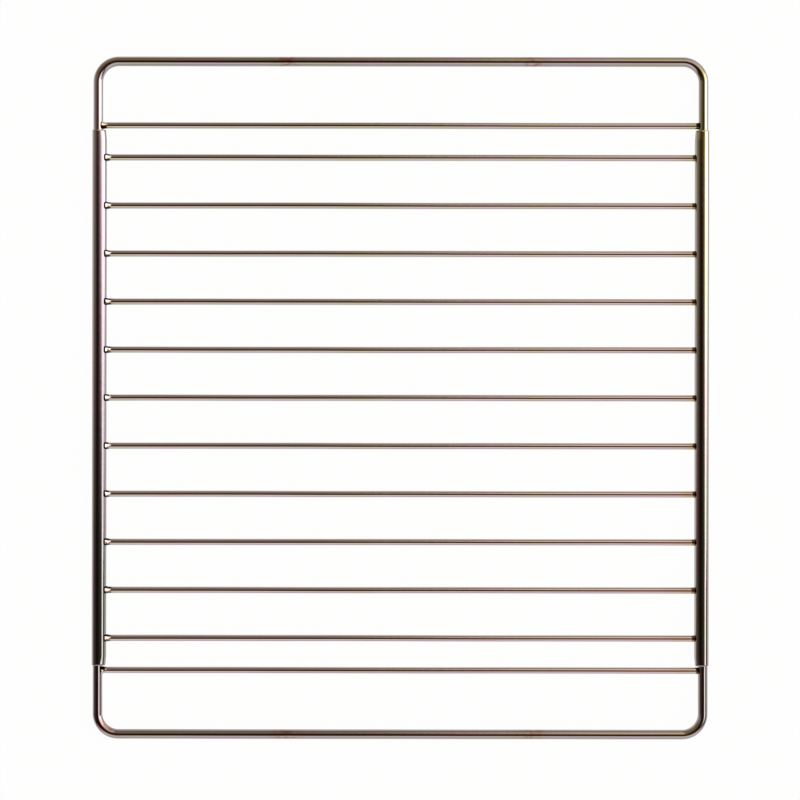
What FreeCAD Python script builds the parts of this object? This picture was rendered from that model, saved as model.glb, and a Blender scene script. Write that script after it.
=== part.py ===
"""Oven shelf rack: a closed frame of bent wire, a sleeve on each side run and a row of welded cross bars.

The rack lies flat. X runs left to right along the bars, Y front to back along the sleeves, Z up.
The origin is on the plane that the rack rests on, under the middle of the frame. Sizes are in millimetres.
"""

import FreeCAD, Part
import os

from FreeCAD import Vector

# Frame wire
frame_width = 384.0  # over the outside of the wire, left to right
frame_length = 426.0  # over the outside of the wire, front to back
frame_wire_diameter = 6.0
frame_inside_bend = 10.0  # radius on the inside of each corner

# Side sleeves
sleeve_wall = 0.65
sleeve_clearance = 0.05  # between the frame wire and the bore of the sleeve
sleeve_inward_reach = 2.5  # how far the sleeve stands in past the frame wire
sleeve_end_gap = 1.0  # from the cut end of the sleeve to the end bar beside it
swage_length = 6.0  # tapered stretch at each end of the sleeve
swage_depth = 0.5  # how far the inner side draws in over that stretch

# Cross bars
bar_diameter = 4.0
grid_bar_count = 11
end_bar_inset = 40.0  # from the front or rear run of the frame to the end bar, between centres
end_bar_spacing = 20.0  # from the end bar to the first grid bar, between centres

# Welds
weld_flare_height = 0.75  # how far the upset metal stands out from the bar
weld_flare_length = 1.4  # length over which the bar swells to that height

# Sizes that follow from those above
wire_radius = frame_wire_diameter / 2
bar_radius = bar_diameter / 2
flare_radius = bar_radius + weld_flare_height
side_run_x = frame_width / 2 - wire_radius
end_run_y = frame_length / 2 - wire_radius
bend_radius = frame_inside_bend + wire_radius
straight_x = side_run_x - bend_radius
straight_y = end_run_y - bend_radius
bore_radius = wire_radius + sleeve_clearance
sleeve_radius = bore_radius + sleeve_wall
sleeve_flat = wire_radius + sleeve_inward_reach - sleeve_radius
mid_height = sleeve_radius
end_bar_y = end_run_y - end_bar_inset
sleeve_half_length = end_bar_y - bar_radius - sleeve_end_gap
last_grid_bar_y = end_bar_y - end_bar_spacing
grid_pitch = 2 * last_grid_bar_y / (grid_bar_count - 1)

upward = Vector(0, 0, 1)
along_bar = Vector(1, 0, 0)
full_turn = 360
quarter_turn = 90


def straight_run(start_x, start_y, end_x, end_y):
    """Straight length of frame wire between two points at mid height."""
    start = Vector(start_x, start_y, mid_height)
    run = Vector(end_x, end_y, mid_height).sub(start)
    return Part.makeCylinder(wire_radius, run.Length, start, run)


def corner_bend(sign_x, sign_y):
    """Quarter ring of frame wire at one corner, from the end of the side run round to the end run."""
    centre = Vector(sign_x * straight_x, sign_y * straight_y, mid_height)
    side_end = Vector(sign_x * side_run_x, sign_y * straight_y, mid_height)
    section = Part.Face(Part.Wire(Part.makeCircle(wire_radius, side_end, Vector(0, 1, 0))))
    return section.revolve(centre, upward, sign_x * sign_y * quarter_turn)


def frame_wire():
    """Closed rectangle of wire with four round corners."""
    stretches = [corner_bend(sign_x, sign_y) for sign_x in (-1, 1) for sign_y in (-1, 1)]
    for sign in (-1, 1):
        end_y = sign * end_run_y
        side_x = sign * side_run_x
        stretches.append(straight_run(-straight_x, end_y, straight_x, end_y))
        stretches.append(straight_run(side_x, -straight_y, side_x, straight_y))
    return stretches[0].multiFuse(stretches[1:]).removeSplitter()


def oval_outline(radius, flat, y):
    """Oval across the right-hand sleeve at y: a half round on the frame wire's centre, and one further in."""
    outer_x = side_run_x
    inner_x = side_run_x - flat
    outer_top = Vector(outer_x, y, mid_height + radius)
    outer_bottom = Vector(outer_x, y, mid_height - radius)
    inner_top = Vector(inner_x, y, mid_height + radius)
    inner_bottom = Vector(inner_x, y, mid_height - radius)
    curves = [
        Part.Arc(outer_top, Vector(outer_x + radius, y, mid_height), outer_bottom),
        Part.LineSegment(outer_bottom, inner_bottom),
        Part.Arc(inner_bottom, Vector(inner_x - radius, y, mid_height), inner_top),
        Part.LineSegment(inner_top, outer_top),
    ]
    return Part.Wire([curve.toShape() for curve in curves])


def oval_bar(radius):
    """Solid oval as long as the right-hand sleeve, its inner side drawn in towards both ends."""
    plain_end = sleeve_half_length - swage_length
    stations = [
        (-sleeve_half_length, sleeve_flat - swage_depth),
        (-plain_end, sleeve_flat),
        (plain_end, sleeve_flat),
        (sleeve_half_length, sleeve_flat - swage_depth),
    ]
    outlines = [oval_outline(radius, flat, y) for y, flat in stations]
    return Part.makeLoft(outlines, True, True).removeSplitter()


def on_left(shape):
    """The same shape on the left-hand side of the rack."""
    return shape.mirror(Vector(), along_bar)


def bar_blank(face_x, blank_x):
    """Round bar along X that swells into a weld at each face and runs on to blank_x, ready for coping."""
    plain_x = face_x - weld_flare_length
    right_half = [
        Vector(plain_x, bar_radius, 0),
        Vector(face_x, flare_radius, 0),
        Vector(blank_x, flare_radius, 0),
        Vector(blank_x, 0, 0),
    ]
    left_half = [Vector(-point.x, point.y, 0) for point in reversed(right_half)]
    outline = Part.makePolygon(right_half + left_half + right_half[:1])
    return Part.Face(outline).revolve(Vector(), along_bar, full_turn)


def cross_bar(y, face_x, blank_x, seats):
    """Bar at y, its ends coped to sit on the seats."""
    blank = bar_blank(face_x, blank_x)
    blank.translate(Vector(0, y, mid_height))
    return blank.cut(seats).removeSplitter()


def build():
    """All pieces of the rack, by name."""
    frame = frame_wire()
    sleeve_outside = oval_bar(sleeve_radius)
    right_sleeve = sleeve_outside.cut(oval_bar(bore_radius))
    pieces = {
        "frame_wire": frame,
        "right_side_sleeve": right_sleeve,
        "left_side_sleeve": on_left(right_sleeve),
    }
    wire_face_x = side_run_x - wire_radius
    for name, y in (("front_end_bar", -end_bar_y), ("rear_end_bar", end_bar_y)):
        pieces[name] = cross_bar(y, wire_face_x, side_run_x, [frame])
    inner_round_x = side_run_x - sleeve_flat
    sleeve_face_x = inner_round_x - sleeve_radius
    sleeve_seats = [sleeve_outside, on_left(sleeve_outside)]
    for index in range(grid_bar_count):
        y = index * grid_pitch - last_grid_bar_y
        pieces[f"grid_bar_{index + 1:02d}"] = cross_bar(y, sleeve_face_x, inner_round_x, sleeve_seats)
    return pieces


os.makedirs("parts", exist_ok=True)
for name, shape in build().items():
    shape.exportStep(f"parts/{name}.step")
    print(f"{name}: {len(shape.Solids)} solid, {shape.Volume:.1f} cubic mm, valid {shape.isValid()}")
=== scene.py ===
"""Chromed oven shelf rack, lying flat on a pale floor and seen from straight above.

The rack is a bent frame wire, an oval sleeve on each side run and a row of cross bars welded between them.
Lengths in this file are in metres unless a name ends in _mm.
"""

import logging
import math
from dataclasses import dataclass, field
from enum import Enum
from typing import Any

import bmesh
import bpy
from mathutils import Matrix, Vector, noise

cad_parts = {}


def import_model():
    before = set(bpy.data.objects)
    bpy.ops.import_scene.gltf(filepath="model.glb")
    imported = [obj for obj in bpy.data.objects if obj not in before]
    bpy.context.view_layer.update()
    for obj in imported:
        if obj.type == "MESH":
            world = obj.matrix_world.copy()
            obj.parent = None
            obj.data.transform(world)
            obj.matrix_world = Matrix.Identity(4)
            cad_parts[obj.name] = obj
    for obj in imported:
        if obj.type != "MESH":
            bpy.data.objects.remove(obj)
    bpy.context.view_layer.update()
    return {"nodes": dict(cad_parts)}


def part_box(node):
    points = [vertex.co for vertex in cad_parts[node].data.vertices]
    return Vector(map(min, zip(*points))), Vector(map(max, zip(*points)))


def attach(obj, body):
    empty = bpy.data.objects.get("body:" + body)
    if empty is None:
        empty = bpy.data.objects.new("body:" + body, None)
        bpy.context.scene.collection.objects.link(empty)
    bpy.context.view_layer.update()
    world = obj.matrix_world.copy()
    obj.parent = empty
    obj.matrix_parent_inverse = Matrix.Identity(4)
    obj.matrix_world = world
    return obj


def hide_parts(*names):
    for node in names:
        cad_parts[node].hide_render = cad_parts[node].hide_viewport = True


LOG = logging.getLogger("oven_shelf_rack")
MM = 0.001
ONE_BODY = "root"
WIRE_UV = "wire_metres"
TINT_AND_SHADE = "weld_tint_and_painted_shade"
REFLECTION_YELLOW = "painted_reflection_yellow"
STAIN_AND_TINT = "hook_stain_and_reflection_tint"
END_BARS = ("front_end_bar", "rear_end_bar")
# How far apart two stretches of noise lie.
STRETCH_STEP = (7.31, 3.17)
# Sockets of a Mix node that mixes colours, by number because several share a name.
MIX_SHARE = 0
MIX_UNDER = 6
MIX_OVER = 7
MIX_COLOUR = 2
# Places and hex colours of a ramp, in order.
Tones = tuple[tuple[float, str], ...]


class Side(Enum):
    """The two long sides of the rack, by the sign of X."""

    LEFT = -1
    RIGHT = 1


class BarSeat(Enum):
    """What the two ends of a cross bar are welded to."""

    FRAME_WIRE = "frame wire"
    SLEEVE = "sleeve"


class Stretch(Enum):
    """Stretch of noise that an unevenness is read from. Each bar adds its own number."""

    FRAME_DIP = 1.0
    FRAME_LIFT = 2.0
    BAR_TINT_AND_SHADE = 5.0
    BAR_SWAY = 20.0
    BAR_LIFT = 40.0
    BAR_STRAW = 60.0


def linear(hex_colour: str) -> tuple[float, float, float, float]:
    """Turn an sRGB hex colour into linear light.

    Args:
        hex_colour: Colour as #RRGGBB.

    Returns:
        Red, green, blue and an alpha of 1.
    """
    channels = [int(hex_colour[i:i + 2], 16) / 255 for i in (1, 3, 5)]
    light = [c / 12.92 if c <= 0.04045 else ((c + 0.055) / 1.055) ** 2.4 for c in channels]
    return (light[0], light[1], light[2], 1.0)


def add_node(tree: bpy.types.NodeTree, kind: str, inputs: dict[Any, Any] | None = None,
             stops: Tones = (), **settings: Any) -> bpy.types.Node:
    """Add a node with its settings, and link or set its inputs.

    Args:
        tree: Node tree that takes the node.
        kind: Blender's name for the node type.
        inputs: Input socket, by name or number, to an output socket to link or a value to set.
        stops: Places and hex colours of a ramp, in order.
        **settings: Properties of the node.

    Returns:
        The new node.
    """
    node = tree.nodes.new(kind)
    for name, value in settings.items():
        setattr(node, name, value)
    for place, _ in stops[2:]:
        node.color_ramp.elements.new(place)
    for element, (place, colour) in zip(node.color_ramp.elements if stops else (), stops):
        element.position = place
        element.color = linear(colour)
    for socket, value in (inputs or {}).items():
        if isinstance(value, bpy.types.NodeSocket):
            tree.links.new(value, node.inputs[socket])
        else:
            node.inputs[socket].default_value = value
    return node


def unevenness(along: float, wave: float, stretch: Stretch, number: int = 0) -> float:
    """Smooth random value between about -1 and 1, the same on every run.

    Args:
        along: Distance along the wire.
        wave: Length of one rise and fall.
        stretch: Stretch of noise that it is read from.
        number: The bar's own number, or 0 for the frame wire.

    Returns:
        The value at that distance.
    """
    seed = stretch.value + number
    return noise.noise(Vector((along / wave, seed * STRETCH_STEP[0], seed * STRETCH_STEP[1])))


def rise(value: float, low: float, high: float) -> float:
    """Smooth step from 0 at low to 1 at high."""
    share = min(1.0, max(0.0, (value - low) / (high - low)))
    return share * share * (3.0 - 2.0 * share)


def fade(distance: float, reach: float) -> float:
    """What is left at a distance from a mark: 1 at the mark, over a third at its reach, and soon none."""
    return math.exp(-((distance / reach) ** 2))


def bar_row(node: str) -> float:
    """Place of a bar's centre along Y."""
    low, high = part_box(node)
    return (low[1] + high[1]) / 2


@dataclass(frozen=True)
class ChromedWire:
    """Bright drawn steel wire with a thin nickel and chrome plate.

    The eye sees near-mirror bands that run along the wire, a little blurred by the draw lines under the
    plate, slow drifts between olive, rose and lilac where the plate is thin, straw to scorched brown at each
    weld and patchy red stains where the plating hooks held it. Painted on as well: shade on the flanks of
    the bars' left ends, a yellow reflection tint on the right-hand crown and a red reflection tint in one
    corner.
    """

    name: str
    plate: str = "#9F9A99"
    olive_drift: str = "#9D9A8D"
    rose_drift: str = "#A29499"
    # Yellow painted over the right-hand crown as a reflection colour.
    reflection_yellow_tone: str = "#F2F9BE"
    # Red of the hook stains, also painted in one corner as a reflection tint.
    red_stain_and_tint: str = "#E49C80"
    # From bare plate through straw and brown to the black of a weld. The same ramp paints shade on the flanks
    # of the bars' left ends.
    tint_and_shade_ramp: Tones = (
        (0.0, "#FFFFFF"), (0.13, "#F3F3CC"), (0.26, "#E8DCB4"), (0.45, "#B89A82"), (0.65, "#6C5F5C"),
        (0.85, "#38312E"), (1.0, "#181412"))
    stain_length_mm: float = 4.5
    stain_width_mm: float = 2.5
    # Depths of the patches between which the stains and the painted corner tint go from none to full.
    stain_from: float = 0.35
    stain_to: float = 0.75
    drift_length_mm: float = 46.0
    drift_width_mm: float = 9.0
    # Depths of the drift that are olive, plain plate and rose.
    drift_depths: tuple[float, float, float] = (0.34, 0.5, 0.68)
    # How far the drift leans from olive to rose over each metre towards the front, or to the rear if below 0.
    rose_per_metre: float = 0.55
    # Real draw lines are a few hundredths of a millimetre apart, too fine to show, so they are drawn coarser.
    draw_line_mm: float = 0.45
    draw_line_length_mm: float = 28.0
    draw_line_depth_mm: float = 0.006
    dimple_mm: float = 5.0
    dimple_depth_mm: float = 0.02
    polish: float = 0.06
    # Roughness between and on the draw lines, as shares of the polish.
    finest_share: float = 0.6
    coarsest_share: float = 1.5
    burn_and_shade_roughness: float = 0.45
    # Weld tint, with its painted shade, from which the plate is dulled.
    dulled_from: float = 0.3

    def build(self) -> bpy.types.Material:
        """Make the material.

        Returns:
            The finished material.
        """
        material = bpy.data.materials.new(self.name)
        material.use_nodes = True
        tree = material.node_tree
        tree.nodes.clear()
        place = add_node(tree, "ShaderNodeUVMap", uv_map=WIRE_UV).outputs["UV"]
        # Weld tint, which also carries the painted shade on the flanks of the bars' left ends.
        tint_and_shade = add_node(tree, "ShaderNodeAttribute", attribute_name=TINT_AND_SHADE).outputs["Fac"]
        # Yellow reflection tint painted on the right-hand crown.
        age = add_node(tree, "ShaderNodeAttribute", attribute_name=REFLECTION_YELLOW).outputs["Fac"]
        # Hook stains, with a red reflection tint painted in one corner.
        stain_and_tint = add_node(tree, "ShaderNodeAttribute", attribute_name=STAIN_AND_TINT).outputs["Fac"]

        drift = self._pattern(tree, place, self.drift_length_mm, self.drift_width_mm, detail=2.0)
        spot = add_node(tree, "ShaderNodeTexCoord").outputs["Object"]
        rearward = add_node(tree, "ShaderNodeSeparateXYZ", {0: spot}).outputs["Y"]
        leaning = add_node(tree, "ShaderNodeMath", {0: rearward, 1: -self.rose_per_metre, 2: drift},
                           operation="MULTIPLY_ADD").outputs["Value"]
        drift_tones = tuple(zip(self.drift_depths, (self.olive_drift, self.plate, self.rose_drift)))
        plate = add_node(tree, "ShaderNodeValToRGB", {"Fac": leaning}, stops=drift_tones).outputs["Color"]
        tint = add_node(tree, "ShaderNodeValToRGB", {"Fac": tint_and_shade}, stops=self.tint_and_shade_ramp).outputs["Color"]
        yellow = add_node(tree, "ShaderNodeValToRGB", {"Fac": age}, stops=(
            (0.0, "#FFFFFF"), (1.0, self.reflection_yellow_tone))).outputs["Color"]
        plate_with_reflection_yellow = add_node(tree, "ShaderNodeMix", {MIX_SHARE: 1.0, MIX_UNDER: plate, MIX_OVER: yellow},
                        data_type="RGBA", blend_type="MULTIPLY").outputs[MIX_COLOUR]
        patches = self._pattern(tree, place, self.stain_length_mm, self.stain_width_mm, detail=2.0)
        patchy = add_node(tree, "ShaderNodeMapRange", {
            "Value": patches, "From Min": self.stain_from, "From Max": self.stain_to,
            "To Max": stain_and_tint}).outputs["Result"]
        red_stain_and_tint = add_node(tree, "ShaderNodeMix", {
            MIX_SHARE: patchy, MIX_UNDER: plate_with_reflection_yellow, MIX_OVER: linear(self.red_stain_and_tint)},
            data_type="RGBA", blend_type="MULTIPLY").outputs[MIX_COLOUR]
        colour = add_node(tree, "ShaderNodeMix", {MIX_SHARE: 1.0, MIX_UNDER: red_stain_and_tint, MIX_OVER: tint},
                          data_type="RGBA", blend_type="MULTIPLY").outputs[MIX_COLOUR]

        lines = self._pattern(tree, place, self.draw_line_length_mm, self.draw_line_mm, detail=3.0)
        dimples = self._pattern(tree, place, self.dimple_mm, self.dimple_mm, detail=1.0)
        roughness = add_node(tree, "ShaderNodeMapRange", {
            "Value": lines, "To Min": self.polish * self.finest_share,
            "To Max": self.polish * self.coarsest_share}).outputs["Result"]
        burn_and_shade = add_node(tree, "ShaderNodeMapRange", {
            "Value": tint_and_shade, "From Min": self.dulled_from, "To Min": roughness,
            "To Max": self.burn_and_shade_roughness}).outputs["Result"]
        soft = add_node(tree, "ShaderNodeBump", {"Height": dimples, "Distance": self.dimple_depth_mm * MM})
        fine = add_node(tree, "ShaderNodeBump", {
            "Height": lines, "Distance": self.draw_line_depth_mm * MM, "Normal": soft.outputs["Normal"]})

        shader = add_node(tree, "ShaderNodeBsdfPrincipled", {
            "Base Color": colour, "Metallic": 1.0, "Roughness": burn_and_shade, "Normal": fine.outputs["Normal"]})
        add_node(tree, "ShaderNodeOutputMaterial", {"Surface": shader.outputs["BSDF"]})
        return material

    def _pattern(self, tree: bpy.types.NodeTree, place: bpy.types.NodeSocket, length_mm: float,
                 width_mm: float, detail: float) -> bpy.types.NodeSocket:
        """Add cloudy patches of a real size, measured along and round the wire.

        Args:
            tree: The material's node tree.
            place: Distance along and round the wire, in metres.
            length_mm: Usual length of a patch along the wire.
            width_mm: Usual width of a patch round the wire.
            detail: How many finer layers the patches hold.

        Returns:
            A value from 0 to 1.
        """
        scale = (1 / (length_mm * MM), 1 / (width_mm * MM), 1.0)
        sized = add_node(tree, "ShaderNodeMapping", {"Vector": place, "Scale": scale}).outputs["Vector"]
        return add_node(tree, "ShaderNodeTexNoise", {
            "Vector": sized, "Scale": 1.0, "Detail": detail}, noise_dimensions="2D").outputs["Fac"]


@dataclass(frozen=True)
class PlateMarks:
    """Where the plating hooks have left stains on the plate and where reflection tints are painted on it, from
    the middle of the rack.

    A yellow painted reflection tint lies on the right-hand crown, stronger towards the rear, but not on the
    top of the outer round. The hooks left stains at two places on each rail, and a red reflection tint is
    painted in one corner.
    """

    # Band of the painted yellow reflection tint across the right-hand crown, the top of the outer round left
    # out, and its rise towards the rear.
    reflection_yellow_crown_mm: tuple[float, float] = (184.6, 188.0)
    unyellowed_top_mm: tuple[float, float] = (189.3, 190.3)
    reflection_yellow_length_mm: tuple[float, float] = (-100.0, 120.0)
    rail_y_mm: float = 206.0
    hook_places_mm: tuple[float, float] = (-72.0, 82.0)
    hook_reach_mm: float = 6.5
    # Red reflection tint painted on the inner side of the front left bend.
    reflection_tint_corner_mm: tuple[float, float] = (-184.5, -204.5)
    reflection_tint_reach_mm: float = 10.0
    corner_reflection_tint: float = 0.75

    def age(self, point: Vector) -> float:
        """How strong the painted yellow reflection tint is at a point, from 0, none, to 1."""
        across = rise(point.x / MM, *self.reflection_yellow_crown_mm) * (1.0 - rise(point.x / MM, *self.unyellowed_top_mm))
        return across * rise(point.y / MM, *self.reflection_yellow_length_mm)

    def stain_and_tint(self, point: Vector) -> float:
        """How strong the hooks' stains and the painted corner tint are at a point.

        Args:
            point: Place on the plate.

        Returns:
            Strength from 0, none, to 1.
        """
        # The corner's red is painted reflection colour.
        corner = Vector(self.reflection_tint_corner_mm) * MM
        stain_and_tint = self.corner_reflection_tint * fade((point.xy - corner).length, self.reflection_tint_reach_mm * MM)
        if abs(point.y) < self.rail_y_mm * MM:
            return stain_and_tint
        gap = min(abs(point.x - hook_mm * MM) for hook_mm in self.hook_places_mm)
        return max(stain_and_tint, fade(gap, self.hook_reach_mm * MM))


@dataclass
class RingSkin:
    """Skin of quads over a row of rings, with the same number of points in each.

    Attributes:
        girth: Length round one ring.
        closing_along: Distance to write where the last ring joins the first, or none for a row with two caps.
        marks: Where the plate has stains and painted reflection tints.
        rings: Points of each ring.
        along: Distance of each ring along the wire.
        tint_and_shade: Weld tint of each point, with painted shade on the bars' left flanks, from 0, none, to
            1, blackest.
    """

    girth: float
    closing_along: float | None = None
    marks: PlateMarks = PlateMarks()
    rings: list[list[Vector]] = field(default_factory=list)
    along: list[float] = field(default_factory=list)
    tint_and_shade: list[list[float]] = field(default_factory=list)

    def add(self, ring: list[Vector], along: float, tint_and_shade: list[float]) -> None:
        """Add one ring to the row.

        Args:
            ring: Its points.
            along: Its distance along the wire.
            tint_and_shade: Weld tint and painted shade of each point.
        """
        self.rings.append(ring)
        self.along.append(along)
        self.tint_and_shade.append(tint_and_shade)

    def to_object(self, name: str, material: bpy.types.Material) -> bpy.types.Object:
        """Make the mesh object.

        Args:
            name: Name of the piece.
            material: Its finish.

        Returns:
            The object, linked to the scene.
        """
        points = len(self.rings[0])
        rows = len(self.rings)
        mesh = bpy.data.meshes.new(name)
        shape = bmesh.new()
        uv = shape.loops.layers.uv.new(WIRE_UV)
        corners = [[shape.verts.new(point) for point in ring] for ring in self.rings]
        for row in range(rows - 1 if self.closing_along is None else rows):
            following = (row + 1) % rows
            end_along = self.along[following] if following else self.closing_along
            for point in range(points):
                beside = (point + 1) % points
                quad = shape.faces.new((corners[row][point], corners[row][beside],
                                        corners[following][beside], corners[following][point]))
                round_low = self.girth * point / points
                round_high = self.girth * (point + 1) / points
                places = ((self.along[row], round_low), (self.along[row], round_high),
                          (end_along, round_high), (end_along, round_low))
                for loop, place in zip(quad.loops, places):
                    loop[uv].uv = place
        for end in (corners[0], corners[-1]) if self.closing_along is None else ():
            for edge in shape.faces.new(end).edges:
                edge.smooth = False
        bmesh.ops.recalc_face_normals(shape, faces=shape.faces)
        # The skin of a long thin bar can come out of that with its inside outwards.
        if shape.calc_volume(signed=True) < 0.0:
            bmesh.ops.reverse_faces(shape, faces=shape.faces)
        shape.to_mesh(mesh)
        shape.free()
        mesh.shade_smooth()
        finish = {TINT_AND_SHADE: [value for ring in self.tint_and_shade for value in ring],
                  REFLECTION_YELLOW: [self.marks.age(corner.co) for corner in mesh.vertices],
                  STAIN_AND_TINT: [self.marks.stain_and_tint(corner.co) for corner in mesh.vertices]}
        for attribute, values in finish.items():
            mesh.attributes.new(attribute, "FLOAT", "POINT").data.foreach_set("value", values)
        mesh.materials.append(material)
        piece = bpy.data.objects.new(name, mesh)
        bpy.context.scene.collection.objects.link(piece)
        return piece


def set_in_place(piece: bpy.types.Object, node: str) -> None:
    """Let a piece stand for a node of the frame.

    Args:
        piece: The finished piece.
        node: Name of the solid that it stands for.
    """
    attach(piece, ONE_BODY)
    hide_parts(node)
    LOG.info("%s stands for %s, %d faces", piece.name, node, len(piece.data.polygons))


@dataclass(frozen=True)
class RoundSeat:
    """The round side of a wire or sleeve that a bar end is welded to, seen in a cut across it.

    Attributes:
        centre_x: Distance from the middle of the rack to the centre of the round.
        radius: Radius of the round.
        drop: How far its centre lies below the bar's.
    """

    centre_x: float
    radius: float
    drop: float = 0.0

    @property
    def face_x(self) -> float:
        """Distance from the middle of the rack to the nearest point of the round."""
        return self.centre_x - self.radius

    @property
    def top(self) -> float:
        """Height of the round's top over the bar's centre."""
        return self.radius - self.drop

    def face_at(self, height: float) -> float:
        """Distance from the middle of the rack to the round, at a height over the bar's centre."""
        return self.centre_x - math.sqrt(max(0.0, self.radius**2 - (height + self.drop) ** 2))


@dataclass
class FrameWire:
    """The thick wire, bent to a closed rectangle with four round corners.

    Attributes:
        half_width: Distance from the middle of the rack to the centre line of a side run.
        half_length: Distance from the middle of the rack to the centre line of a rail.
        radius: Radius of the wire.
        mid_height: Height of the centre line.
        weld_y: Distance from the middle of the rack to the end bars.
        sway_mm: How far the wire strays from its true line.
    """

    half_width: float
    half_length: float
    radius: float
    mid_height: float
    weld_y: float
    inside_bend_mm: float = 10.0
    points_round: int = 44
    ring_step_mm: float = 3.0
    corner_rings: int = 22
    sway_mm: float = 0.10
    sway_length_mm: float = 95.0
    weld_heat_reach_mm: float = 1.6

    @classmethod
    def from_frame(cls) -> "FrameWire":
        """Take the wire's sizes from the frame.

        Returns:
            The frame wire.
        """
        low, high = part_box("frame_wire")
        radius = (high[2] - low[2]) / 2
        return cls(half_width=high[0] - radius, half_length=high[1] - radius, radius=radius,
                   mid_height=low[2] + radius, weld_y=bar_row("rear_end_bar"))

    def route(self) -> list[tuple[Vector, Vector]]:
        """Walk once round the wire's centre line, anticlockwise from the right-hand side.

        Returns:
            Points of the centre line, each with the direction that faces out of the frame there.
        """
        bend = self.inside_bend_mm * MM + self.radius
        flat_x = self.half_width - bend
        flat_y = self.half_length - bend
        stations: list[tuple[Vector, Vector]] = []
        for turn, (sign_x, sign_y) in enumerate(((1, 1), (-1, 1), (-1, -1), (1, -1))):
            start = turn * math.pi / 2
            outward = Vector((math.cos(start), math.sin(start), 0))
            run = 2 * (flat_y if turn % 2 == 0 else flat_x)
            centre = Vector((sign_x * flat_x, sign_y * flat_y, self.mid_height))
            along = Vector((-outward.y, outward.x, 0))
            run_start = centre + outward * bend - along * run
            steps = max(2, round(run / (self.ring_step_mm * MM)))
            stations += [(run_start + along * (run * i / steps), outward) for i in range(steps)]
            for i in range(self.corner_rings):
                angle = start + math.pi / 2 * i / self.corner_rings
                facing = Vector((math.cos(angle), math.sin(angle), 0))
                stations.append((centre + facing * bend, facing))
        return stations

    def tint_and_shade_at(self, point: Vector) -> float:
        """Heat tint that the end bars' welds leave on the wire.

        Args:
            point: Place on the wire.

        Returns:
            Heat from 0 to 1, at a weld.
        """
        inner_x = self.half_width - self.radius
        weld = Vector((math.copysign(inner_x, point.x), math.copysign(self.weld_y, point.y), self.mid_height))
        return fade((point - weld).length, self.weld_heat_reach_mm * MM)

    def build(self, finish: bpy.types.Material, slot: str) -> None:
        """Sweep the wire round its route.

        Args:
            finish: The wire's material.
            slot: Not used.
        """
        skin = RingSkin(2 * math.pi * self.radius)
        travelled = 0.0
        wave = self.sway_length_mm * MM
        route = self.route()
        for (centre, outward), (following, _) in zip(route, route[1:] + route[:1]):
            dip = self.sway_mm * MM * abs(unevenness(travelled, wave, Stretch.FRAME_DIP))
            lift = self.sway_mm * MM * unevenness(travelled, wave, Stretch.FRAME_LIFT)
            middle = centre - outward * dip + Vector((0, 0, lift))
            ring = []
            for i in range(self.points_round):
                angle = 2 * math.pi * i / self.points_round - math.pi / 2
                ring.append(middle + outward * (self.radius * math.cos(angle))
                            + Vector((0, 0, self.radius * math.sin(angle))))
            skin.add(ring, travelled, [self.tint_and_shade_at(point) for point in ring])
            travelled += (following - centre).length
        skin.closing_along = travelled
        set_in_place(skin.to_object("bent_frame_wire", finish), "frame_wire")


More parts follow.
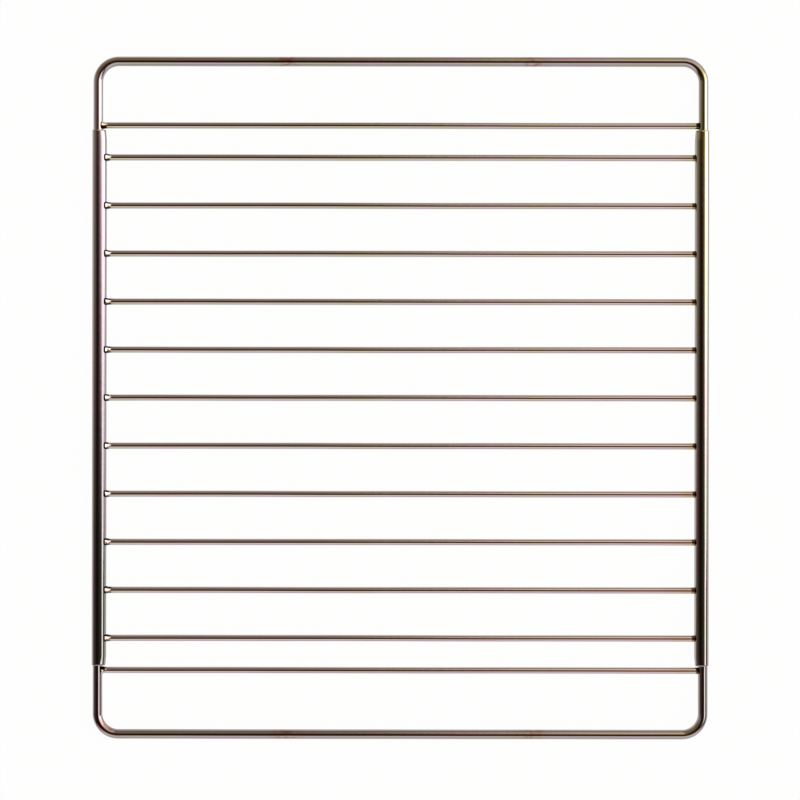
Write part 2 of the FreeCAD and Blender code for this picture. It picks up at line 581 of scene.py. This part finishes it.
@dataclass
class SideSleeve:
    """Thin oval tube on one side run of the frame wire, drawn in a little at its cut ends.

    Attributes:
        wire_x: Distance from the middle of the rack to the wire inside.
        radius: Radius of the outer round.
        flat: Distance between the oval's two rounds.
        polish_loss_mm: Metal that polishing has taken off all round.
        lip_mm: Size of the worn edge at each cut end.
        swage_length_mm: Length over which an end is drawn in.
        swage_depth_mm: How far it is drawn in at the cut.
    """

    side: Side
    wire_x: float
    radius: float
    flat: float
    half_length: float
    mid_height: float
    bar_rows: list[float]
    rear_droop_deg: float
    front_droop_deg: float
    crown_deg: float
    weld_heat_reach_mm: float
    wall_mm: float = 0.65
    polish_loss_mm: float = 0.08
    lip_mm: float = 0.12
    swage_length_mm: float = 6.0
    swage_depth_mm: float = 0.5
    ring_step_mm: float = 0.8
    round_points: int = 26
    crown_points: int = 8
    flat_points: int = 4
    weld_dent_mm: float = 0.16
    weld_dent_reach_mm: float = 1.9
    weld_heat: float = 0.6

    @classmethod
    def from_frame(cls, side: Side, frame_wire: FrameWire, bar_rows: list[float], rear_droop_deg: float,
                   front_droop_deg: float, crown_deg: float, weld_heat_reach_mm: float) -> "SideSleeve":
        """Take the sleeve's sizes from the frame.

        Args:
            side: Which side of the rack.
            frame_wire: The wire inside the sleeve.
            bar_rows: Places of the bars that are welded to the sleeve.
            rear_droop_deg: Slope of its top, down towards the bars, at the rear end.
            front_droop_deg: The same slope at the front end.
            crown_deg: How far the top turns to each side of that slope.
            weld_heat_reach_mm: How far the weld tint reaches from each weld.

        Returns:
            The sleeve.
        """
        low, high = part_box(f"{side.name.lower()}_side_sleeve")
        radius = (high[2] - low[2]) / 2
        return cls(side=side, wire_x=frame_wire.half_width, radius=radius, flat=high[0] - low[0] - 2 * radius,
                   half_length=(high[1] - low[1]) / 2, mid_height=low[2] + radius, bar_rows=bar_rows,
                   rear_droop_deg=rear_droop_deg, front_droop_deg=front_droop_deg, crown_deg=crown_deg,
                   weld_heat_reach_mm=weld_heat_reach_mm)

    @property
    def nose_x(self) -> float:
        """Distance from the middle of the rack to the bars' end of the sleeve."""
        return self.wire_x - self.flat - self.radius

    def section(self, radius: float, y: float) -> list[tuple[float, float]]:
        """Points of the oval, from the underside round the outer side, over the top and down the inner side.

        The inner round is the smaller one, and a shallow crown runs from one round to the other on top.

        Args:
            radius: Radius of the outer round.
            y: Place along the sleeve.

        Returns:
            Distance from the middle of the rack, and height, of each point.
        """
        turn = math.radians(self.crown_deg)
        start = math.pi / 2 + math.radians(self.droop_deg_at(y)) - turn
        end = start + 2 * turn
        seat = self.seat_at(y)
        outer = self._arc((self.wire_x, self.mid_height), radius, -math.pi / 2, start, self.round_points)
        inner = self._arc((seat.centre_x + self.draw_in_at(y), self.mid_height - seat.drop),
                          seat.radius - self.radius + radius, end, 3 * math.pi / 2, self.round_points)
        size = math.dist(outer[-1], inner[0]) / (2 * math.sin(turn))
        centre = (outer[-1][0] - size * math.cos(start), outer[-1][1] - size * math.sin(start))
        crown = self._arc(centre, size, start, end, self.crown_points)[1:-1]
        return outer + crown + inner + self._between(inner[-1], outer[0])

    @staticmethod
    def _arc(centre: tuple[float, float], size: float, start: float, end: float,
             steps: int) -> list[tuple[float, float]]:
        """Points on a round, with its ends.

        Args:
            centre: Centre of the round.
            size: Radius of the round.
            start: Angle of the first point.
            end: Angle of the last point.
            steps: Number of equal steps between them.

        Returns:
            The points in order.
        """
        angles = [start + (end - start) * i / steps for i in range(steps + 1)]
        return [(centre[0] + size * math.cos(angle), centre[1] + size * math.sin(angle)) for angle in angles]

    def _between(self, start: tuple[float, float], end: tuple[float, float]) -> list[tuple[float, float]]:
        """Points on the straight line between two points, without its ends."""
        shares = [i / self.flat_points for i in range(1, self.flat_points)]
        return [(start[0] + (end[0] - start[0]) * s, start[1] + (end[1] - start[1]) * s) for s in shares]

    def droop_deg_at(self, y: float) -> float:
        """Slope of the top, down towards the bars, at y."""
        share = (y / self.half_length + 1) / 2
        return self.front_droop_deg + (self.rear_droop_deg - self.front_droop_deg) * share

    def seat_at(self, y: float) -> RoundSeat:
        """The inner round that the bars are welded to, in its place before the ends are drawn in.

        Args:
            y: Place along the sleeve.

        Returns:
            The round at that place.
        """
        lean = math.tan(math.radians(self.droop_deg_at(y)) / 2)
        drop = self.flat * lean / (1 - lean)
        return RoundSeat(self.nose_x + self.radius - drop, self.radius - drop, drop)

    def draw_in_at(self, y: float) -> float:
        """How far the inner side is drawn in at y."""
        from_end = (self.half_length - abs(y)) / (self.swage_length_mm * MM)
        return self.swage_depth_mm * MM * max(0.0, 1.0 - from_end)

    def add_ring(self, skin: RingSkin, y: float, radius: float, along: float) -> None:
        """Add one ring across the sleeve, with its weld dents and weld tint.

        Args:
            skin: Skin that takes the ring.
            y: Place of the ring.
            radius: Radius of its half rounds.
            along: Distance to write for the ring.
        """
        nearest = min(self.bar_rows, key=lambda row: abs(row - y))
        weld = Vector((self.nose_x, nearest, self.mid_height))
        ring = []
        tint_and_shade = []
        for x, z in self.section(radius - self.polish_loss_mm * MM, y):
            gap = (Vector((x, y, z)) - weld).length
            dent = self.weld_dent_mm * MM * fade(gap, self.weld_dent_reach_mm * MM)
            ring.append(Vector((self.side.value * (x + dent), y, z)))
            tint_and_shade.append(self.weld_heat * fade(gap, self.weld_heat_reach_mm * MM))
        skin.add(ring, along, tint_and_shade)

    def build(self, finish: bpy.types.Material, slot: str) -> None:
        """Skin the sleeve outside, round its cut ends and back along its bore.

        Args:
            finish: The sleeve's material.
            slot: Not used.
        """
        lip = self.lip_mm * MM
        bore = self.radius - self.wall_mm * MM
        skin = RingSkin(2 * math.pi * self.radius + 2 * self.flat, lip)
        steps = round(2 * (self.half_length - lip) / (self.ring_step_mm * MM))
        edge = self.half_length - lip
        outside = [edge * (2 * i / steps - 1) for i in range(steps + 1)]
        for y in outside:
            self.add_ring(skin, y, self.radius, y + self.half_length)
        self.add_ring(skin, self.half_length, self.radius - lip, 2 * self.half_length)
        self.add_ring(skin, self.half_length, bore + lip, 2 * self.half_length)
        for y in (edge, edge - self.swage_length_mm * MM, -edge + self.swage_length_mm * MM, -edge):
            self.add_ring(skin, y, bore, y + self.half_length)
        self.add_ring(skin, -self.half_length, bore + lip, 0.0)
        self.add_ring(skin, -self.half_length, self.radius - lip, 0.0)
        side = self.side.name.lower()
        set_in_place(skin.to_object(f"{side}_oval_sleeve", finish), f"{side}_side_sleeve")


@dataclass
class CrossBar:
    """One thin round bar, upset and welded at both ends to a round seat that runs along Y.

    Attributes:
        number: The bar's own number, which sets its unevenness apart from that of the others.
        row: Place of its centre along Y.
        flank_flare_share: Length of the flare on the flanks, as a share of that on top.
        right_flare_share: Length of the right-hand flare, as a share of the left one.
        right_upset_share: How far the right-hand end is upset, as a share of the left one.
        crest_mm: How far the upset end climbs its seat on top.
        root_mm: How far it climbs down its seat underneath.
        crest_flatness: How square the upset end becomes.
        spread_mm: How far the upset end widens on each flank.
        lap_mm: How far the weld laps over the round of its seat.
        sleeve_burn: Heat tint all round a right-hand weld on a sleeve.
        frame_burn: Heat tint all round a right-hand weld on the frame wire.
        rear_burn: Heat tint that a right-hand weld has on top of that where it faces the rear.
    """

    node: str
    number: int
    row: float
    mid_height: float
    welded_to: BarSeat
    left_seat: RoundSeat
    right_seat: RoundSeat
    radius_mm: float = 2.0
    points_round: int = 36
    flare_rings: int = 20
    flare_length_mm: float = 3.0
    flare_curve: float = 1.1
    flank_flare_share: float = 0.4
    right_flare_share: float = 0.5
    right_upset_share: float = 0.4
    crest_mm: float = 1.2
    root_mm: float = 0.5
    crest_flatness: float = 1.6
    spread_mm: float = 0.3
    lap_mm: float = 0.45
    ring_step_mm: float = 1.5
    bead_mm: float = 0.12
    bead_size_mm: float = 1.3
    # How far apart the lumps of two bars' beads lie in the noise.
    bead_stretch: float = 9.7
    sway_mm: float = 0.12
    sway_length_mm: float = 80.0
    # The higher this is, the nearer to its welds the bar still sways.
    sway_power: int = 8
    # How far the painted shade on the flanks of the left ends reaches.
    left_painted_shade_reach_mm: float = 3.2
    right_heat_reach_mm: float = 2.3
    tint_and_shade_unevenness: float = 0.6
    tint_and_shade_wave_mm: float = 1000.0
    sleeve_burn: float = 0.38
    frame_burn: float = 0.6
    rear_burn: float = 0.2
    # Shares of facing the rear, the middle of the rack or either side between which the right-hand burn, and
    # on the left ends the painted shade, grows to full.
    facing_rear: tuple[float, float] = (-0.7, 0.1)
    painted_shade_facing_middle: tuple[float, float] = (-0.1, 0.2)
    painted_shade_aside: tuple[float, float] = (0.28, 0.44)
    straw_heat: float = 0.09
    straw_reach_mm: float = 13.0

    @property
    def face_x(self) -> float:
        """Distance from the middle of the rack to the nearest point of either seat."""
        return self.right_seat.face_x

    def stations(self) -> list[tuple[float, float]]:
        """Places along the bar from left to right.

        Returns:
            For each ring, the distance from the middle at the bar's centre height, and the share of the flare
            that has been climbed there, from 0 on the plain bar to 1 at the seat.
        """
        plain = self.face_x - self.flare_length_mm * MM
        steps = round(2 * plain / (self.ring_step_mm * MM))
        climb = [i / self.flare_rings for i in range(1, self.flare_rings + 1)]
        right = [(plain + (self.face_x - plain) * share, share) for share in climb]
        left = [(-x, share) for x, share in reversed(right)]
        return left + [(plain * (2 * i / steps - 1), 0.0) for i in range(steps + 1)] + right

    def flare_point(self, x: float, share: float, angle: float) -> Vector:
        """One point of the bar's skin, with the weld's climb up the seat.

        Args:
            x: Place along the bar.
            share: Share of the flare that has been climbed.
            angle: Angle round the bar, from the side that faces the rear.

        Returns:
            The point, with the bar's own centre line as its origin in Y and Z.
        """
        radius = self.radius_mm * MM
        seat = self.right_seat if x > 0 else self.left_seat
        flare_share = self.flank_flare_share + (1.0 - self.flank_flare_share) * abs(math.sin(angle))
        flare_share *= self.right_flare_share if x > 0 else 1.0
        upset = self.right_upset_share if x > 0 else 1.0
        climb = upset * max(0.0, 1.0 - (1.0 - share) / flare_share) ** self.flare_curve
        height = min(seat.top - radius, (self.crest_mm if math.sin(angle) > 0 else self.root_mm) * MM)
        spot = Vector((x, math.cos(angle) * radius, math.sin(angle) * radius))
        lump = noise.noise(spot / (self.bead_size_mm * MM) + Vector((0, 0, self.bead_stretch * self.number)))
        bead = share * self.bead_mm * MM * lump
        squareness = 2.0 / (2.0 + self.crest_flatness * climb)
        across = math.copysign(abs(math.cos(angle)) ** squareness, math.cos(angle))
        up = math.copysign(abs(math.sin(angle)) ** squareness, math.sin(angle))
        y = (radius + climb * self.spread_mm * MM + bead) * across
        z = (radius + climb * height + bead) * up
        reach = share * min(upset * self.lap_mm * MM, seat.face_at(z) - seat.face_x)
        return Vector((x + math.copysign(reach, x), y, z))

    def tint_and_shade_at(self, x: float, angle: float) -> float:
        """Weld tint and painted shade on the bar.

        The right-hand welds are scorched all round, with straw beyond. The left ends carry painted shade on
        both flanks, or on an end bar only on the flank that faces the middle of the rack.

        Args:
            x: Place along the bar.
            angle: Angle round the bar, from the side that faces the rear.

        Returns:
            Heat from 0 to 1.
        """
        spread = unevenness(self.row, self.tint_and_shade_wave_mm * MM, Stretch.BAR_TINT_AND_SHADE, self.number)
        uneven = 1.0 + self.tint_and_shade_unevenness * spread
        gap = max(0.0, self.face_x - abs(x))
        if x > 0:
            patch = 1.0 + unevenness(x, self.straw_reach_mm * MM / 2, Stretch.BAR_STRAW, self.number)
            straw = self.straw_heat * patch * fade(gap, self.straw_reach_mm * MM * uneven)
            least = self.sleeve_burn if self.welded_to is BarSeat.SLEEVE else self.frame_burn
            burn_and_shade = least + self.rear_burn * rise(math.cos(angle), *self.facing_rear)
            reach = self.right_heat_reach_mm * MM * uneven
            return max(straw, burn_and_shade * (1.0 - rise(gap, reach / 2, reach)))
        # Left ends: painted shade on the flanks, where the upset end would lie in shade; no real burn.
        if self.welded_to is BarSeat.FRAME_WIRE:
            burn_and_shade = rise(-math.copysign(1.0, self.row) * math.cos(angle), *self.painted_shade_facing_middle)
        else:
            burn_and_shade = rise(abs(math.cos(angle)), *self.painted_shade_aside)
        reach = self.left_painted_shade_reach_mm * MM * uneven
        return burn_and_shade * (1.0 - rise(gap, reach / 2, reach))

    def build(self, finish: bpy.types.Material, slot: str) -> None:
        """Turn the bar and fit its flared ends to their seats.

        Args:
            finish: The bar's material.
            slot: Not used.
        """
        skin = RingSkin(2 * math.pi * self.radius_mm * MM)
        angles = [2 * math.pi * i / self.points_round - math.pi / 2 for i in range(self.points_round)]
        wave = self.sway_length_mm * MM
        for x, share in self.stations():
            ease = self.sway_mm * MM * (1.0 - (x / self.face_x) ** self.sway_power)
            aside = ease * unevenness(x, wave, Stretch.BAR_SWAY, self.number)
            lift = ease * unevenness(x, wave, Stretch.BAR_LIFT, self.number)
            centre = Vector((0, self.row + aside, self.mid_height + lift))
            ring = [centre + self.flare_point(x, share, angle) for angle in angles]
            skin.add(ring, x + self.face_x, [self.tint_and_shade_at(x, angle) for angle in angles])
        set_in_place(skin.to_object(f"{self.node}_wire", finish), self.node)


@dataclass(frozen=True)
class Softbox:
    """A flat soft lamp, by where it stands, its size and how bright its face is."""

    name: str
    place: tuple[float, float, float]
    width: float
    height: float
    radiance: float
    colour: str

    def light(self, aim: Vector) -> None:
        """Set up the lamp.

        Args:
            aim: Point that the lamp faces.
        """
        lamp = bpy.data.lights.new(self.name, "AREA")
        lamp.shape = "RECTANGLE"
        lamp.size = self.width
        lamp.size_y = self.height
        lamp.color = linear(self.colour)[:3]
        lamp.energy = self.radiance * math.pi * self.width * self.height
        holder = bpy.data.objects.new(self.name, lamp)
        holder.location = self.place
        holder.rotation_euler = (aim - holder.location).to_track_quat("-Z", "Y").to_euler()
        holder.visible_camera = False
        bpy.context.scene.collection.objects.link(holder)


@dataclass(frozen=True)
class Room:
    """The room that the wires mirror, as soft tones that depend only on the direction.

    The front wall is pale, the ceiling is dark, the rear wall is brown and catches the sun on its right, and
    a white window fills the right-hand side. Towards the front the window is only a strip over a dark sill.
    Each stop is an angle from straight overhead and its tone.
    """

    wall_light: float = 1.4
    window_light: float = 3.2
    front_to_rear_left: Tones = (
        (-90, "#CBC9CB"), (-62, "#F4EEF0"), (-50, "#FFFFFF"), (-36, "#CCBCBA"), (-26, "#2A1411"),
        (-5, "#0C0403"), (5, "#100503"), (12, "#684E40"), (24, "#7A634F"), (45, "#A38A70"), (90, "#8A7A62"))
    front_to_rear_right: Tones = (
        (-90, "#CBC9CB"), (-62, "#F4EEF0"), (-50, "#FFFFFF"), (-36, "#D2C2C0"), (-26, "#381E18"),
        (-5, "#100504"), (4, "#180906"), (7, "#504030"), (11, "#8A745C"), (15, "#BE9E88"), (25, "#FFE0CA"),
        (42, "#FFEBD8"), (58, "#E4C2AC"), (72, "#B4957E"), (90, "#8C745E"))
    left_to_right_rear: Tones = (
        (-90, "#716A64"), (-50, "#59514A"), (-25, "#312724"), (0, "#090605"), (11, "#272020"),
        (17, "#645459"), (23, "#9A8991"), (32, "#FFFFFF"), (90, "#F0F0F0"))
    left_to_right_front: Tones = (
        (-90, "#48403E"), (-50, "#332A28"), (-25, "#1B1413"), (0, "#060404"), (20, "#262A22"),
        (29, "#434B3E"), (34, "#E2E3DC"), (47, "#FAFAFA"), (58, "#564240"), (90, "#362E2C"))
    # How much of the two sides shows, from front to rear: white is all of them, and black none.
    side_front_to_rear: Tones = (
        (-90, "#000000"), (-26, "#000000"), (-10, "#FFFFFF"), (12, "#FFFFFF"), (32, "#000000"),
        (90, "#000000"))
    # Shares of facing right, or the rear, between which one tone turns into the other.
    sunny_from: float = -0.05
    sunny_to: float = 0.12
    sill_from: float = -0.08
    sill_to: float = 0.10

    def build(self) -> bpy.types.World:
        """Make the world.

        Returns:
            The finished world.
        """
        world = bpy.data.worlds.new("brown_room")
        world.use_nodes = True
        tree = world.node_tree
        tree.nodes.clear()
        facing = add_node(tree, "ShaderNodeTexCoord").outputs["Generated"]
        axes = add_node(tree, "ShaderNodeSeparateXYZ", {0: facing}).outputs
        depth = add_node(tree, "ShaderNodeMapRange", {"Value": axes["Y"], "From Min": -1.0}).outputs["Result"]
        width = add_node(tree, "ShaderNodeMapRange", {"Value": axes["X"], "From Min": -1.0}).outputs["Result"]
        plain = add_node(tree, "ShaderNodeValToRGB", {"Fac": depth}, self._places(self.front_to_rear_left))
        sunny = add_node(tree, "ShaderNodeValToRGB", {"Fac": depth}, self._places(self.front_to_rear_right))
        strip = add_node(tree, "ShaderNodeValToRGB", {"Fac": width}, self._places(self.left_to_right_front))
        window = add_node(tree, "ShaderNodeValToRGB", {"Fac": width}, self._places(self.left_to_right_rear))
        toward_sun = add_node(tree, "ShaderNodeMapRange", {
            "Value": axes["X"], "From Min": self.sunny_from, "From Max": self.sunny_to},
            interpolation_type="SMOOTHSTEP").outputs["Result"]
        over_sill = add_node(tree, "ShaderNodeMapRange", {
            "Value": axes["Y"], "From Min": self.sill_from, "From Max": self.sill_to},
            interpolation_type="SMOOTHSTEP").outputs["Result"]
        walls = add_node(tree, "ShaderNodeMix", {
            MIX_SHARE: toward_sun, MIX_UNDER: plain.outputs["Color"], MIX_OVER: sunny.outputs["Color"]},
            data_type="RGBA").outputs[MIX_COLOUR]
        sides = add_node(tree, "ShaderNodeMix", {
            MIX_SHARE: over_sill, MIX_UNDER: strip.outputs["Color"], MIX_OVER: window.outputs["Color"]},
            data_type="RGBA").outputs[MIX_COLOUR]
        extent = add_node(tree, "ShaderNodeValToRGB", {"Fac": depth}, self._places(self.side_front_to_rear))
        sides = add_node(tree, "ShaderNodeMix", {
            MIX_SHARE: 1.0, MIX_UNDER: sides, MIX_OVER: extent.outputs["Color"]},
            data_type="RGBA", blend_type="MULTIPLY").outputs[MIX_COLOUR]
        from_walls = add_node(tree, "ShaderNodeBackground", {"Color": walls, "Strength": self.wall_light})
        from_sides = add_node(tree, "ShaderNodeBackground", {"Color": sides, "Strength": self.window_light})
        both = add_node(tree, "ShaderNodeAddShader", {0: from_walls.outputs[0], 1: from_sides.outputs[0]})
        add_node(tree, "ShaderNodeOutputWorld", {"Surface": both.outputs["Shader"]})
        return world

    @staticmethod
    def _places(stops: Tones) -> Tones:
        """Turn angles from straight overhead into places on a ramp from one horizon to the other."""
        return tuple(((math.sin(math.radians(angle)) + 1) / 2, tone) for angle, tone in stops)


@dataclass(frozen=True)
class MattPaper:
    """Uncoated white paper, pressed smooth, which the eye sees as an even white with a faint shadow."""

    name: str = "matt_white_paper"
    tone: str = "#F4F4F4"
    # Share of plain white for the camera and for what the wires mirror. The rest takes the shadow.
    plain_white: float = 0.97

    def build(self) -> bpy.types.Material:
        """Make the material.

        Returns:
            The finished material.
        """
        material = bpy.data.materials.new(self.name)
        material.use_nodes = True
        tree = material.node_tree
        tree.nodes.clear()
        path = add_node(tree, "ShaderNodeLightPath").outputs
        seen = add_node(tree, "ShaderNodeMath", {0: path["Is Camera Ray"], 1: path["Is Glossy Ray"]},
                        operation="MAXIMUM").outputs["Value"]
        seen = add_node(tree, "ShaderNodeMath", {0: seen, 1: path["Is Transmission Ray"]},
                        operation="MAXIMUM").outputs["Value"]
        share = add_node(tree, "ShaderNodeMath", {0: seen, 1: self.plain_white},
                         operation="MULTIPLY").outputs["Value"]
        paper = add_node(tree, "ShaderNodeBsdfDiffuse", {"Color": linear(self.tone)})
        white = add_node(tree, "ShaderNodeEmission", {"Strength": 1.0})
        mixed = add_node(tree, "ShaderNodeMixShader", {
            0: share, 1: paper.outputs["BSDF"], 2: white.outputs["Emission"]})
        add_node(tree, "ShaderNodeOutputMaterial", {"Surface": mixed.outputs["Shader"]})
        return material


@dataclass
class Studio:
    """Pale floor, a soft lamp, the room that the wires mirror and the camera above the rack."""

    middle: Vector
    floor_size: float = 24.0
    lens_mm: float = 100.0
    sensor_mm: float = 36.0
    view_width_mm: float = 499.6
    # How far the camera hangs to the front and to the left of the rack's middle, and its turn.
    view_low_mm: float = 1.25
    view_left_mm: float = 0.3
    roll_deg: float = 0.08
    paper: MattPaper = MattPaper()
    room: Room = Room()
    lamp: Softbox = Softbox("right_window", place=(1.7, 0.35, 0.8), width=1.2, height=0.8, radiance=1.2,
                            colour="#FFFFFF")

    def light(self) -> None:
        """Put up the lamp, the floor and the room."""
        self.lamp.light(self.middle)
        self._floor()
        bpy.context.scene.world = self.room.build()
        bpy.context.scene.view_settings.view_transform = "Standard"

    def _floor(self) -> None:
        """Lay the paper under the rack."""
        half = self.floor_size / 2
        corners = [(-half, -half, 0), (half, -half, 0), (half, half, 0), (-half, half, 0)]
        mesh = bpy.data.meshes.new("pale_floor")
        mesh.from_pydata(corners, [], [(0, 1, 2, 3)])
        mesh.materials.append(self.paper.build())
        floor = bpy.data.objects.new("pale_floor", mesh)
        bpy.context.scene.collection.objects.link(floor)

    def look(self) -> None:
        """Hang the camera over the rack, square to it, as the photograph was taken."""
        camera = bpy.data.cameras.new("overhead_camera")
        camera.lens = self.lens_mm
        camera.sensor_width = self.sensor_mm
        holder = bpy.data.objects.new("overhead_camera", camera)
        distance = self.view_width_mm * MM * self.lens_mm / self.sensor_mm
        holder.location = self.middle + Vector((-self.view_left_mm * MM, -self.view_low_mm * MM, distance))
        holder.rotation_euler = (0, 0, math.radians(self.roll_deg))
        bpy.context.scene.collection.objects.link(holder)
        bpy.context.scene.camera = holder


def main() -> None:
    """Load the frame, build and dress every piece, and light the scene."""
    logging.basicConfig(level=logging.INFO, format="%(message)s")
    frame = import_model()
    grid_nodes = sorted(name for name in frame["nodes"] if name.startswith("grid_bar"))

    frame_wire = FrameWire.from_frame()
    frame_wire.build(ChromedWire("chromed_frame_wire", rose_per_metre=0.15).build(), "frame_wire_chrome")

    grid_rows = [bar_row(node) for node in grid_nodes]
    left_sleeve = SideSleeve.from_frame(Side.LEFT, frame_wire, grid_rows, rear_droop_deg=15.0,
                                        front_droop_deg=9.0, crown_deg=6.0, weld_heat_reach_mm=0.8)
    right_sleeve = SideSleeve.from_frame(Side.RIGHT, frame_wire, grid_rows, rear_droop_deg=0.0,
                                         front_droop_deg=0.0, crown_deg=7.0, weld_heat_reach_mm=1.7)
    left_finish = ChromedWire("rosy_chromed_sleeve_tube", plate="#9D9697", olive_drift="#9A9693",
                              rose_drift="#9F9298", drift_length_mm=70.0, rose_per_metre=-0.6, polish=0.08)
    left_sleeve.build(left_finish.build(), "sleeve_chrome")
    right_finish = ChromedWire("olive_chromed_sleeve_tube", plate="#A6A29A", olive_drift="#A5A48C",
                               rose_drift="#AF9D9B", drift_length_mm=70.0, rose_per_metre=0.9, polish=0.08)
    right_sleeve.build(right_finish.build(), "sleeve_chrome")

    bar_finish = ChromedWire("chromed_bar_wire", plate="#BAB2B3", olive_drift="#B8B3A6",
                             rose_drift="#BDAEB2").build()
    wire_seat = RoundSeat(frame_wire.half_width, frame_wire.radius)
    for number, node in enumerate(END_BARS):
        CrossBar(node, number, bar_row(node), frame_wire.mid_height, BarSeat.FRAME_WIRE,
                 wire_seat, wire_seat).build(bar_finish, "bar_chrome")
    for number, node in enumerate(grid_nodes, start=len(END_BARS)):
        row = bar_row(node)
        CrossBar(node, number, row, frame_wire.mid_height, BarSeat.SLEEVE,
                 left_sleeve.seat_at(row), right_sleeve.seat_at(row)).build(bar_finish, "bar_chrome")

    studio = Studio(Vector((0.0, 0.0, frame_wire.mid_height)))
    studio.light()
    studio.look()


if __name__ == "__main__":
    main()
